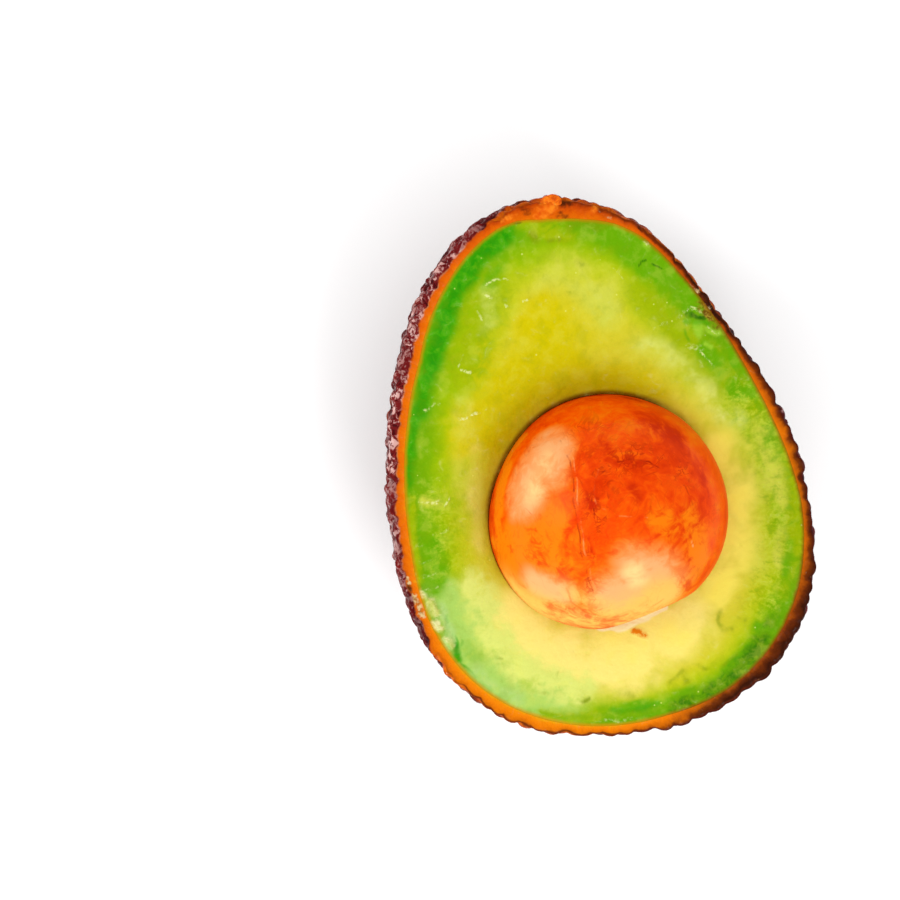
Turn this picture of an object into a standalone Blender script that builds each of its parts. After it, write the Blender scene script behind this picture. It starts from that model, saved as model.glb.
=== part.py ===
"""Half an avocado with its seed in place, lying on its skin with the cut face up.

The half is a pear-shaped body cut along its length. A pebbled skin is a thin cup round the
flesh, the flesh has a round hollow with the seed in it, and what is left of the stem, cut
with the fruit, sits in a notch of the skin at the narrow end.

Units are metres. +Y is the stem end, +Z is up out of the cut face, and z = 0 is the surface
that the half lies on. Each mesh is modelled round the middle of the cut face, and an empty
there carries them.
"""

import math
import random

import bmesh
import bpy
from mathutils import Vector

# Pear-shaped body, up to the valleys between the pebbles
HALF_LENGTH = 0.0457
HALF_BREADTH = 0.0336
TAPER = -0.222
NECK = 0.109
SHOULDER = 0.077
BEND = 0.00155
SWELL = 0.09
CUT_HEIGHT = 0.0336

# Skin and flesh
SKIN_THICKNESS = 0.0016
GAP = 0.0003
WALL_SEGMENTS = 48
WALL_RINGS = 24

# Pebbles on the skin of the whole fruit, larger than life
PEBBLE_COUNT = 1150
PEBBLE_HEIGHT = 0.0007
PEBBLE_VARIATION = 0.35
PEBBLE_SIDE = 0.0007
PEBBLE_JITTER = 0.026
PEBBLE_SEED = 11
STEM_END_LOSS = 0.45
STEM_END_START = 0.80

# Flat spot that the half lies on, and how far beyond it the pebbles are low
FLAT_CENTRE_Y = -0.0100
FLAT_HALF_WIDTH = 0.0080
FLAT_HALF_LENGTH = 0.0105
FLAT_FADE = 1.0

# Seed, a little narrower along the fruit than across it
SEED_RADIUS = 0.0196
SEED_CENTRE = Vector((0.0015, -0.0069, 0))
SEED_OVAL = 0.012
SEED_SEGMENTS = 32
SEED_RINGS = 20

# Shallow dish in the cut face round the seed, deepest on the stem side
DISH_WIDTH = 0.0105
DISH_DEPTH = 0.0014
DISH_DEPTH_CHANGE = 0.0009
DISH_DEEP_SIDE = math.radians(120)
DISH_STEPS = 5

# Stem remnant in the rim at the stem end
STEM_X = 0.0058
STEM_LEAN = math.radians(-10)
STEM_FOOT_RADIUS = 0.0013
STEM_RADIUS = 0.0020
STEM_PROUD = 0.0013
STEM_STEPS = 10

SKIN_COLOUR = (0.060, 0.010, 0.008, 1)
FLESH_COLOUR = (0.520, 0.620, 0.060, 1)
SEED_COLOUR = (0.800, 0.150, 0.010, 1)
STEM_COLOUR = (0.560, 0.130, 0.010, 1)

TOUCHING = 0.00001


def clear_scene():
    for item in list(bpy.data.objects):
        bpy.data.objects.remove(item, do_unlink=True)


def make_material(name, colour, roughness):
    material = bpy.data.materials.new(name)
    material.use_nodes = True
    shader = material.node_tree.nodes["Principled BSDF"]
    shader.inputs["Base Color"].default_value = colour
    shader.inputs["Roughness"].default_value = roughness
    shader.inputs["Metallic"].default_value = 0.0
    return material


def finish_piece(bm, name, material, parent, crease):
    """Turns a closed mesh into a smooth-shaded object under the parent."""
    bmesh.ops.remove_doubles(bm, verts=bm.verts, dist=TOUCHING)
    bmesh.ops.recalc_face_normals(bm, faces=bm.faces)
    mesh = bpy.data.meshes.new(name)
    bm.to_mesh(mesh)
    bm.free()
    mesh.shade_smooth()
    mesh.set_sharp_from_angle(angle=crease)
    mesh.materials.append(material)
    piece = bpy.data.objects.new(name, mesh)
    bpy.context.collection.objects.link(piece)
    piece.parent = parent
    return piece


def smooth_step(low, high, value):
    t = min(max((value - low) / (high - low), 0.0), 1.0)
    return t * t * (3 - 2 * t)


def body_point(direction, inset=0.0):
    """Point of the body for a unit direction, moved inwards by the inset.

    The body is a sphere drawn out along Y, with a girth that tapers towards the stem end. It
    swells a little below the cut, because the fruit was cut just off its widest section.
    """
    x, y, z = direction
    swell = 1 - SWELL * z * (1 + z)
    girth = HALF_BREADTH * (1 + TAPER * y + NECK * y ** 2 + SHOULDER * y ** 3) - inset
    length = HALF_LENGTH - inset
    return Vector((girth * x * swell + BEND * y ** 2, length * y * swell, girth * z))


def add_half_sphere(bm, segments, rings):
    """Adds the lower half of a unit sphere, open at the top, and returns its vertices."""
    made = bmesh.ops.create_uvsphere(bm, u_segments=segments, v_segments=rings, radius=1.0)
    upper = [vertex for vertex in made["verts"] if vertex.co.z > 0.001]
    lower = [vertex for vertex in made["verts"] if vertex.co.z <= 0.001]
    bmesh.ops.delete(bm, geom=upper, context="VERTS")
    for vertex in lower:
        if vertex.co.z > -0.001:
            vertex.co.z = 0.0
    return lower


def pebble_directions():
    """Unit directions of the pebbles of the whole fruit, on a spiral with a little jitter."""
    draw = random.Random(PEBBLE_SEED)
    golden_angle = math.pi * (3 - math.sqrt(5))
    for i in range(PEBBLE_COUNT):
        z = 1 - (2 * i + 1) / PEBBLE_COUNT
        radius = math.sqrt(1 - z * z)
        angle = i * golden_angle
        point = Vector((radius * math.cos(angle), radius * math.sin(angle), z))
        nudge = Vector([draw.uniform(-1, 1) for axis in range(3)])
        yield (point + nudge * PEBBLE_JITTER).normalized()


def pebble_fade(point):
    """Share of its height that a pebble keeps at a point of the body."""
    flat = math.hypot(point.x / FLAT_HALF_WIDTH, (point.y - FLAT_CENTRE_Y) / FLAT_HALF_LENGTH)
    under = smooth_step(1.0, 1.0 + FLAT_FADE, flat) if point.z < 0 else 1.0
    stem_end = smooth_step(STEM_END_START * HALF_LENGTH, HALF_LENGTH, point.y)
    return under * (1 - STEM_END_LOSS * stem_end)


def add_pebbled_body(bm):
    """Outside of the whole fruit: one cell round each pebble, with its middle raised."""
    middles = [bm.verts.new(direction) for direction in pebble_directions()]
    bmesh.ops.convex_hull(bm, input=middles)
    joins = bm.edges[:]
    bmesh.ops.poke(bm, faces=bm.faces[:])
    bmesh.ops.rotate_edges(bm, edges=joins, use_ccw=False)
    bmesh.ops.dissolve_verts(bm, verts=middles)
    for vertex in bm.verts:
        vertex.co = body_point(vertex.co.normalized())
    cells = bm.faces[:]
    bmesh.ops.recalc_face_normals(bm, faces=cells)
    bmesh.ops.inset_individual(bm, faces=cells, thickness=PEBBLE_SIDE, use_even_offset=True)
    draw = random.Random(PEBBLE_SEED)
    for cell in cells:
        outward = cell.normal.copy()
        height = PEBBLE_HEIGHT * (1 + PEBBLE_VARIATION * draw.uniform(-1, 1))
        for vertex in cell.verts:
            vertex.co += outward * height * pebble_fade(vertex.co)


def cut_level(bm, level, side):
    """Cuts away what is above (side 1) or below (side -1) a level, and returns the cut's edges."""
    geometry = bm.verts[:] + bm.edges[:] + bm.faces[:]
    cut = bmesh.ops.bisect_plane(
        bm, geom=geometry, plane_co=(0, 0, level), plane_no=(0, 0, side), clear_outer=True
    )
    return [item for item in cut["geom_cut"] if isinstance(item, bmesh.types.BMEdge)]


def add_skin(parent):
    """Thin cup: pebbled outside, plain inside, flat rim and a notch for the stem remnant."""
    bm = bmesh.new()
    add_pebbled_body(bm)
    cut_level(bm, 0, 1)
    flat_edges = cut_level(bm, -CUT_HEIGHT, -1)
    bmesh.ops.contextual_create(bm, geom=flat_edges)
    for vertex in add_half_sphere(bm, WALL_SEGMENTS, WALL_RINGS):
        vertex.co = body_point(vertex.co.normalized(), SKIN_THICKNESS)
    rim_edges = [edge for edge in bm.edges if edge.is_boundary]
    bmesh.ops.triangle_fill(bm, use_beauty=True, edges=rim_edges, normal=(0, 0, 1))
    material = make_material("pebbled_skin", SKIN_COLOUR, 0.35)
    skin = finish_piece(bm, "skin", material, parent, math.radians(60))
    cutter = add_stem(parent, "stem_notch", GAP)
    cutter.hide_render = True
    cutter.display_type = "WIRE"
    notch = skin.modifiers.new("stem notch", "BOOLEAN")
    notch.operation = "DIFFERENCE"
    notch.solver = "EXACT"
    notch.object = cutter
    return skin


def dish_depth(point):
    """Depth of the cut face below its flat rim, at a point of it."""
    reach = Vector((point.x, point.y, 0)) - SEED_CENTRE
    away = min(max((reach.length - SEED_RADIUS) / DISH_WIDTH, 0.0), 1.0)
    side = math.cos(math.atan2(reach.y, reach.x) - DISH_DEEP_SIDE)
    return (DISH_DEPTH + DISH_DEPTH_CHANGE * side) * (1 - away) ** 2


def hollow_point(direction):
    """Point of the seed's hollow, which starts at the dish and not at the cut plane."""
    radius = SEED_RADIUS + GAP
    level = Vector((direction.x, direction.y, 0))
    if level.length < 0.001:
        return SEED_CENTRE + Vector((0, 0, -radius))
    level.normalize()
    start = math.asin(dish_depth(SEED_CENTRE + level * SEED_RADIUS) / radius)
    angle = start + (math.pi / 2 - start) * math.asin(-direction.z) / (math.pi / 2)
    return SEED_CENTRE + level * radius * math.cos(angle) + Vector((0, 0, -radius * math.sin(angle)))


def add_flesh(parent):
    """One piece inside the skin, with the seed's hollow and a dish in its cut face."""
    bm = bmesh.new()
    for vertex in add_half_sphere(bm, WALL_SEGMENTS, WALL_RINGS):
        vertex.co = body_point(vertex.co.normalized(), SKIN_THICKNESS + GAP)
    for vertex in add_half_sphere(bm, WALL_SEGMENTS, SEED_RINGS):
        vertex.co = hollow_point(vertex.co.normalized())
    rims = [edge for edge in bm.edges if edge.is_boundary]
    walls = set(bm.edges)
    bmesh.ops.bridge_loops(bm, edges=rims)
    spokes = [edge for edge in bm.edges if edge not in walls]
    made = bmesh.ops.subdivide_edges(bm, edges=spokes, cuts=DISH_STEPS, use_grid_fill=True)
    for item in made["geom_inner"]:
        if isinstance(item, bmesh.types.BMVert):
            item.co.z = -dish_depth(item.co)
    material = make_material("cut_flesh", FLESH_COLOUR, 0.45)
    return finish_piece(bm, "flesh", material, parent, math.radians(35))


def add_seed(parent):
    bm = bmesh.new()
    bmesh.ops.create_uvsphere(bm, u_segments=SEED_SEGMENTS, v_segments=SEED_RINGS, radius=1.0)
    for vertex in bm.verts:
        vertex.co *= SEED_RADIUS * (1 - SEED_OVAL * vertex.co.y ** 2)
    material = make_material("seed_coat", SEED_COLOUR, 0.25)
    seed = finish_piece(bm, "seed", material, parent, math.radians(60))
    seed.location = SEED_CENTRE
    return seed


def add_stem(parent, name, grown):
    """Half of a short woody plug, turned by half a circle below the cut plane.

    A grown one is whole, so that it cuts the notch that the plug sits in with a gap round it.
    """
    foot = -SKIN_THICKNESS - grown
    proud = STEM_PROUD + grown
    profile = [
        (0.0, foot),
        (STEM_FOOT_RADIUS + grown, foot),
        (STEM_RADIUS + grown, -0.25 * SKIN_THICKNESS),
        (STEM_RADIUS + grown, 0.55 * proud),
        (0.6 * STEM_RADIUS + grown, proud),
        (0.0, proud),
    ]
    bm = bmesh.new()
    chain = [bm.verts.new((radius, along, 0)) for radius, along in profile]
    for first, second in zip(chain, chain[1:]):
        bm.edges.new((first, second))
    turns = 2 if grown else 1
    bmesh.ops.spin(
        bm,
        geom=bm.verts[:] + bm.edges[:],
        cent=(0, 0, 0),
        axis=(0, 1, 0),
        angle=turns * math.pi,
        steps=turns * STEM_STEPS,
    )
    bmesh.ops.remove_doubles(bm, verts=bm.verts, dist=TOUCHING)
    if not grown:
        cut_edges = [edge for edge in bm.edges if edge.is_boundary]
        bmesh.ops.contextual_create(bm, geom=cut_edges)
    material = make_material(name, STEM_COLOUR, 0.7)
    stem = finish_piece(bm, name, material, parent, math.radians(50))
    across = (STEM_X - BEND) / HALF_BREADTH
    stem.location = (STEM_X, body_point(Vector((across, 1, 0)).normalized()).y, 0)
    stem.rotation_euler = (0, 0, STEM_LEAN)
    return stem


def main():
    clear_scene()
    cut_face = bpy.data.objects.new("cut_face", None)
    bpy.context.collection.objects.link(cut_face)
    skin = add_skin(cut_face)
    stem = add_stem(cut_face, "stem_button", 0.0)
    add_flesh(cut_face)
    add_seed(cut_face)
    bpy.context.view_layer.update()
    corners = [piece.matrix_local @ Vector(corner) for piece in (skin, stem) for corner in piece.bound_box]
    middle_x = (min(corner.x for corner in corners) + max(corner.x for corner in corners)) / 2
    middle_y = (min(corner.y for corner in corners) + max(corner.y for corner in corners)) / 2
    cut_face.location = (-middle_x, -middle_y, CUT_HEIGHT)


main()
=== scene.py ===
import math
import random

import bmesh
import bpy
import numpy as np
from mathutils import Matrix, Vector, kdtree, noise


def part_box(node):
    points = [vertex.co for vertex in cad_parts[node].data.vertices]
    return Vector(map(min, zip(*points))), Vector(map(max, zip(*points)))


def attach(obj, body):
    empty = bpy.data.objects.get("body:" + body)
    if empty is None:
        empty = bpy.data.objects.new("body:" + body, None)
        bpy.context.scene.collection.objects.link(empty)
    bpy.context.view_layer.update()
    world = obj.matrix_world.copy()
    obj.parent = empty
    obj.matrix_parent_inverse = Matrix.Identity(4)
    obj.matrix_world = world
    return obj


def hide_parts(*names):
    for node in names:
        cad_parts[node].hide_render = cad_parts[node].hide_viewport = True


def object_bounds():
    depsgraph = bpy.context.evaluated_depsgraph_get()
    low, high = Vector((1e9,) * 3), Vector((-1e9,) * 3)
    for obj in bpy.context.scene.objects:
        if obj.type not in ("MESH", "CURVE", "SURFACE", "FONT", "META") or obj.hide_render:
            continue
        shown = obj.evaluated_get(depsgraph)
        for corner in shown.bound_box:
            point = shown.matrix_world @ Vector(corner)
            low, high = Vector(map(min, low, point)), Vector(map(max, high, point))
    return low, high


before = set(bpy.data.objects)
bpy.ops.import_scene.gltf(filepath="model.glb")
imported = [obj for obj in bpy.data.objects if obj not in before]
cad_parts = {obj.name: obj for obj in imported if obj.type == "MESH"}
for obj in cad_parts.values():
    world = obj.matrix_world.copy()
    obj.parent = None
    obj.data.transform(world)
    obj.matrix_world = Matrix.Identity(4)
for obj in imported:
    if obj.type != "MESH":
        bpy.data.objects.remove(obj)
cad_low, cad_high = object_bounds()

# Peel
# The avocado's own skin: a leathery rind about two millimetres thick, dark maroon and covered
# with waxy pebbles outside, orange to brown where the knife went through. It grew round the
# flesh and was cut with it, so it is a cup with a flat rim, rounded at its outer edge.

# Pear-shaped body, up to the valleys between the pebbles, round the middle of the cut face
HALF_LENGTH = 0.0457
HALF_BREADTH = 0.0336
TAPER = -0.222
NECK = 0.109
SHOULDER = 0.077
BEND = 0.00155
SWELL = 0.09
SKIN_THICKNESS = 0.0016
EDGE_INSET = 0.00188
SEED_CENTRE = Vector((0.0015, -0.0069, 0))
SEED_RADIUS = 0.0196

seed_low, seed_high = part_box("seed")
CUT_FACE = (seed_low + seed_high) / 2 - SEED_CENTRE
LEVEL = np.array((1, 1, 0))
DOWN = np.array((0, 0, -1.0))

# Camera, by which places on the fruit are given as picture points, from 0 to 900 right and down
PICTURE_WIDTH = 900
LENS = 120.0
SENSOR = 36.0
CAMERA_PLACE = Vector((-0.059407, 0.105368, 0.485148))
CAMERA_TARGET = Vector((-0.021356, 0.010870, 0.0))
CAMERA_TILT = Vector((0.2901, 0.9433, -0.1610))
CAMERA_AHEAD = (CAMERA_TARGET - CAMERA_PLACE).normalized()
CAMERA_RIGHT = CAMERA_AHEAD.cross(CAMERA_TILT).normalized()
CAMERA_TOP = CAMERA_RIGHT.cross(CAMERA_AHEAD)
PICTURE_POINT = SENSOR / LENS / PICTURE_WIDTH
POINTS_PER_METRE = 6000
FACE_LIGHT = 1.3

STROKE_SCALE = 380.0
FACE_WANDER = 0.0006

GRID_STEPS = 160
EDGE_STEPS = 8
INSIDE_RINGS = 8
# Last ring before the flesh, close to it so that the shading stays crisp at the joint
CRISP = 0.99
EDGE_ROUND = 0.0007

PEBBLE_COUNT = 3300
PEBBLE_HEIGHT = 0.00085
PEBBLE_VARIATION = 0.35
PEBBLE_JITTER = 0.016
PEBBLE_REACH = 0.66
PEBBLE_BLEND = 0.00009
PEBBLE_SEED = 11
PEBBLES_ABOVE_CUT = 0.12
NEIGHBOURS = 6
WOBBLE = 0.00060
WOBBLE_SCALE = 420.0
LUMP = 0.00016
LUMP_SCALE = 130.0

# Brown share of the cut rim by the direction from the seed in degrees, 90 towards the stem
RIM_BROWN = [
    (0, 0.85), (8, 0.7), (25, 0.75), (40, 1), (49, 1.35), (56, 1), (70, 0.4), (88, 0.15), (100, 0.25),
    (115, 0.2), (140, 0.1), (180, 0.1), (215, 0), (255, 0), (266, 0.3), (276, 0.9), (286, 1.4),
    (300, 1.5), (316, 1.25), (334, 0.85), (346, 0.95), (360, 0.85),
]
# Yellow share of the rim's orange by the same direction: redder at the stem, yellower far from it
RIM_AMBER = [
    (0, 0.9), (30, 0.6), (60, 0.4), (80, 0.1), (100, 0.1), (130, 0.3), (160, 0.4), (190, 0.5),
    (215, 0.9), (250, 1), (290, 0.8), (310, 0.6), (335, 0.8), (360, 0.9),
]
# Share of the rim's breadth that is rolled over, so that it shows the outside
RIM_ROLL = [
    (0, 0), (92, 0), (103, 0.45), (125, 0.54), (150, 0.46), (175, 0.32), (200, 0.25), (220, 0.05),
    (235, 0), (360, 0),
]
# Depth in mm of the corky orange-brown band below the rim
RIM_CORK = [
    (0, 0), (35, 0), (55, 3.5), (70, 4.5), (90, 4.5), (98, 0), (198, 0), (212, 2.6), (245, 2.6),
    (265, 0), (360, 0),
]
# How far in mm the outside is drawn in at the rim
RIM_SLIM = [
    (0, 0), (22, 0.1), (34, 0.5), (42, 0.7), (52, 0.8), (60, 0.6), (68, 0.4), (76, 0.4), (84, 0),
    (236, 0), (252, 0.55), (263, 0.45), (270, 0.1), (280, -0.4), (300, -0.7), (318, -0.4), (332, 0.1),
    (348, 0.25), (360, 0),
]
# How far in mm the edge of the flesh reaches out into the rim
FLESH_REACH = [
    (0, 0.55), (25, 0.4), (42, 0.5), (58, 0.4), (67, 0.7), (73, 0.3), (79, -0.5), (84, -0.75),
    (88, -0.45), (92, 0.4), (96, 0.7), (101, 0.5), (110, 0.1), (118, 0), (126, -0.35), (135, 0),
    (150, 0.2), (175, 0), (194, 0.4), (215, 0.3), (270, 0), (288, 0.65), (300, 0.5), (312, 0.35),
    (330, 0.3), (346, 0.6), (360, 0.55),
]
SLIM_HEIGHT = 0.013
# How much lower the pebbles and how much sharper the edge are, for each metre of slimming
SLIM_PEBBLES = 600
SLIM_EDGE = 700
ROLL_DROP = 0.0007
ROLL_HEIGHT = 0.003
RIM_GROOVE = 0.00007
LACE_LOW = -0.0060
LACE_HIGH = -0.0012
# Marks on the rim, by the layer of paint that they belong to. A stroke is its half width in
# picture points, its strength, its height in mm and the picture points of its path.
PEEL_STROKES = {
    "burnt": [
        (8, 0.6, 0, (409, 588), (413, 600)), (4, 1, 0, (702, 292), (707, 297)),
        (14, 0.65, 0, (694, 293), (703, 304), (716, 320)), (4, 1, 0, (714, 312), (720, 318)),
        (7, 0.9, 0, (558, 198), (566, 199)), (4, 0.7, 0, (551, 214), (560, 213)),
        (5, 0.7, 0, (598, 205), (604, 210)), (4, 0.7, 0, (638, 225), (642, 231)),
        (9, 0.5, 0, (522, 208), (530, 212)), (8, 0.45, 0, (562, 207), (570, 203)),
        (6, 0.5, 0, (552, 218), (566, 217)),
    ],
    "scar": [
        (5, 0.7, 0, (686, 284), (693, 289), (698, 292)), (4, 0.5, 0, (699, 300), (708, 310), (716, 320)),
        (4, 0.6, 0, (604, 216), (612, 220)), (4, 0.5, 0, (599, 211), (602, 215)),
        (5, 0.7, 0, (407, 578), (410, 584)), (7, 0.8, 0, (414, 596), (419, 606), (424, 614)),
    ],
    "ember": [
        (14, 1, 0, (546, 199), (551, 208), (540, 215)), (8, 0.6, 0, (588, 215), (598, 207)),
        (10, 0.5, 0, (500, 222), (515, 217)),
    ],
}

STEM_POINT = np.array((0.0058, 0.0455, 0))
STREAK_REACH = 0.022
STREAK_POWER = 0.45
STREAK_NEAREST = 0.0005
FLAT_CENTRE_Y = -0.0100
FLAT_HALF_WIDTH = 0.0080
FLAT_HALF_LENGTH = 0.0105
FLAT_FADE = 0.45


def body_points(directions, inset=0.0):
    """Points of the body for unit directions with z <= 0, moved inwards by the inset."""
    x, y, z = directions.T
    swell = 1 - SWELL * z * (1 + z)
    girth = HALF_BREADTH * (1 + TAPER * y + NECK * y ** 2 + SHOULDER * y ** 3) - inset
    length = (HALF_LENGTH - inset) * y * swell
    return np.column_stack((girth * x * swell + BEND * y ** 2, length, girth * z))


def smooth_step(low, high, value):
    t = np.clip((value - low) / (high - low), 0.0, 1.0)
    return t * t * (3 - 2 * t)


def clouds(points, scale, shift=0.0):
    """Smooth random values from -1 to 1 at points, with features of about one over the scale."""
    shift = Vector((shift, shift, shift))
    return np.array([noise.noise(Vector(point) * scale + shift) for point in points])


def cloud_shifts(points, scale, shifts):
    """Smooth random vectors at points, each part of them with its own shift."""
    return np.column_stack([clouds(points, scale, shift) for shift in shifts])


def ray_at(across, down):
    """Unit direction from the camera through a picture point."""
    middle = PICTURE_WIDTH / 2
    right = (across - middle) * PICTURE_POINT * CAMERA_RIGHT
    top = (middle - down) * PICTURE_POINT * CAMERA_TOP
    return (CAMERA_AHEAD + right + top).normalized()


def on_cut(across, down):
    """Place on the plane of the cut that shows at a picture point."""
    ray = ray_at(across, down)
    return CAMERA_PLACE - ray * CAMERA_PLACE.z / ray.z


def paint_strokes(points, strokes, place, wander):
    """Layers of strokes on points, and the height that the strokes add.

    The paths wander by a noise, as nothing on the fruit is straight.
    """
    layers = {}
    height = np.zeros(len(points))
    points = points + wander * cloud_shifts(points, STROKE_SCALE, (5.5, 23.1, 61.9))
    for layer, marks in strokes.items():
        layers[layer] = np.zeros(len(points))
        for width, strength, rise, *path in marks:
            path = [np.array(place(*spot)) for spot in path]
            nearest = np.full(len(points), np.inf)
            for start, end in zip(path, path[1:]):
                way = end - start
                share = np.clip((points - start) @ way / (way @ way), 0, 1)[:, None]
                nearest = np.minimum(nearest, np.linalg.norm(points - start - share * way, axis=1))
            cover = 1 - smooth_step(0.0, width / POINTS_PER_METRE, nearest)
            layers[layer] = np.maximum(layers[layer], cover * strength)
            height += cover * rise / 1000
    return layers, height


def half_ball(steps):
    """Lower half of a ball, blown up from half a cube: unit directions, quads, and its level rim."""
    bm = bmesh.new()
    bmesh.ops.create_cube(bm, size=2)
    top = [face for face in bm.faces if face.normal.z > 0.5]
    bmesh.ops.delete(bm, geom=top, context="FACES_ONLY")
    for vertex in bm.verts:
        vertex.co.z = min(vertex.co.z, 0.0)
    level = [edge for edge in bm.edges if edge.verts[0].co.z == edge.verts[1].co.z]
    bmesh.ops.subdivide_edges(bm, edges=level, cuts=steps - 1, use_grid_fill=True)
    upright = [edge for edge in bm.edges if edge.verts[0].co.z != edge.verts[1].co.z]
    bmesh.ops.subdivide_edges(bm, edges=upright, cuts=steps // 2 - 1, use_grid_fill=True)
    directions = np.tan(np.array([vertex.co for vertex in bm.verts]) * math.pi / 4)
    directions /= np.linalg.norm(directions, axis=1)[:, None]
    quads = np.array([[vertex.index for vertex in face.verts] for face in bm.faces])
    bm.free()
    rim = np.flatnonzero(directions[:, 2] > -0.0001)
    return directions, quads, rim[np.argsort(np.arctan2(directions[rim, 1], directions[rim, 0]))]


def bowl_rings(level, steps):
    """Rings of unit directions from below a level ring down to just above the bottom."""
    angles = [0.5 * math.pi * k / steps for k in range(1, steps)]
    return [level * math.cos(angle) + DOWN * math.sin(angle) for angle in angles]


def loop_fan(loop, tip):
    return np.column_stack((loop, np.roll(loop, -1), np.full(len(loop), tip)))


def join_rings(loop, start, rings):
    """Quads from a closed loop of vertices over the rings that follow from start, and a fan to a tip."""
    faces = []
    for k in range(rings):
        after = np.arange(start, start + len(loop))
        faces.append(np.column_stack((loop, np.roll(loop, -1), np.roll(after, -1), after)))
        loop = after
        start += len(loop)
    return faces + [loop_fan(loop, start)]


def make_piece(name, points, faces, material, node):
    """Closed smooth mesh round the middle of the cut face, in the place of a CAD node."""
    mesh = bpy.data.meshes.new(name)
    mesh.from_pydata(points.tolist(), [], [face for group in faces for face in group.tolist()])
    bm = bmesh.new()
    bm.from_mesh(mesh)
    bmesh.ops.recalc_face_normals(bm, faces=bm.faces)
    bm.to_mesh(mesh)
    bm.free()
    mesh.shade_smooth()
    mesh.materials.append(material)
    piece = bpy.data.objects.new(name, mesh)
    bpy.context.collection.objects.link(piece)
    piece.location = CUT_FACE
    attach(piece, "root")
    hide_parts(node)
    return piece


def store(piece, **layers):
    """Writes a named value for each vertex, which the piece's material reads."""
    for name, values in layers.items():
        layer = piece.data.attributes.new(name, "FLOAT", "POINT")
        layer.data.foreach_set("value", np.asarray(values, np.float32))


def make_tree(points):
    tree = kdtree.KDTree(len(points))
    for i, point in enumerate(points):
        tree.insert(point, i)
    tree.balance()
    return tree


def outward_normals(points, quads):
    """Unit normals at the points of an open grid, from its quads, facing away from the middle."""
    corner = points[quads]
    across = np.cross(corner[:, 2] - corner[:, 0], corner[:, 3] - corner[:, 1])
    across *= np.sign((across * corner.mean(axis=1)).sum(axis=1))[:, None]
    normals = np.zeros_like(points)
    for k in range(4):
        np.add.at(normals, quads[:, k], across)
    return normals / np.linalg.norm(normals, axis=1)[:, None]


def drawn_from_stem(points):
    """Moves points to a space where all pebbles are round, as those by the stem are drawn out."""
    away = points - STEM_POINT
    distance = np.maximum(np.linalg.norm(away, axis=1), STREAK_NEAREST)
    stretch = np.minimum(distance / STREAK_REACH, 1.0) ** (STREAK_POWER - 1)
    return STEM_POINT + away * stretch[:, None]


def pebble_middles():
    """Middles of the pebbles on the body, on a spiral over the whole fruit with some jitter."""
    draw = random.Random(PEBBLE_SEED)
    golden_angle = math.pi * (3 - math.sqrt(5))
    middles = []
    for i in range(PEBBLE_COUNT):
        x = 1 - (2 * i + 1) / PEBBLE_COUNT
        radius = math.sqrt(1 - x * x)
        point = Vector((x, radius * math.cos(i * golden_angle), radius * math.sin(i * golden_angle)))
        nudge = Vector([draw.uniform(-1, 1) for axis in range(3)])
        middles.append((point + nudge * PEBBLE_JITTER).normalized())
    middles = np.array(middles)
    return body_points(middles[middles[:, 2] < PEBBLES_ABOVE_CUT])


def pebbles_at(points):
    """Height of the pebbled relief at points of the body, and a random tone for each pebble."""
    middles = drawn_from_stem(pebble_middles())
    tree = make_tree(middles)
    spacing = np.array([[hit[2] for hit in tree.find_n(middle, NEIGHBOURS + 1)][1:] for middle in middles])
    rng = np.random.default_rng(PEBBLE_SEED)
    reach = spacing.mean(axis=1) * PEBBLE_REACH * rng.uniform(0.8, 1.2, len(middles))
    tall = 1 + PEBBLE_VARIATION * rng.uniform(-1, 1, len(middles))
    tones = rng.uniform(0, 1, len(middles))
    wobbled = points + WOBBLE * cloud_shifts(points, WOBBLE_SCALE, (3.1, 17.7, 41.3))
    hits = [tree.find_n(point, NEIGHBOURS) for point in drawn_from_stem(wobbled)]
    near = np.array([[hit[1] for hit in row] for row in hits])
    distance = np.array([[hit[2] for hit in row] for row in hits])
    domes = PEBBLE_HEIGHT * tall[near] * (1 - (distance / reach[near]) ** 2)
    height = PEBBLE_BLEND * np.log(1 + np.exp(domes / PEBBLE_BLEND).sum(axis=1))
    return height + LUMP * clouds(points, LUMP_SCALE, 7.0), tones[near[:, 0]]


def pebble_fade(points):
    """Share of its height that the relief keeps: none on the flat spot that the half lies on."""
    flat = np.hypot(points[:, 0] / FLAT_HALF_WIDTH, (points[:, 1] - FLAT_CENTRE_Y) / FLAT_HALF_LENGTH)
    under = smooth_step(1.0, 1.0 + FLAT_FADE, flat)
    return np.where(points[:, 2] < -0.5 * CUT_FACE.z, under, 1.0)


def by_direction(points, table):
    """Values of a table by the direction of the points from the seed, in degrees."""
    away = points - np.array(SEED_CENTRE)
    return np.interp(np.degrees(np.arctan2(away[:, 1], away[:, 0])) % 360, *zip(*table))


def flesh_edge(level, inset):
    """Edge of the flesh in the cut face for level directions; the peel is thinner on one side."""
    reach = by_direction(body_points(level), FLESH_REACH) / 1000
    return body_points(level, inset - reach)


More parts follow.
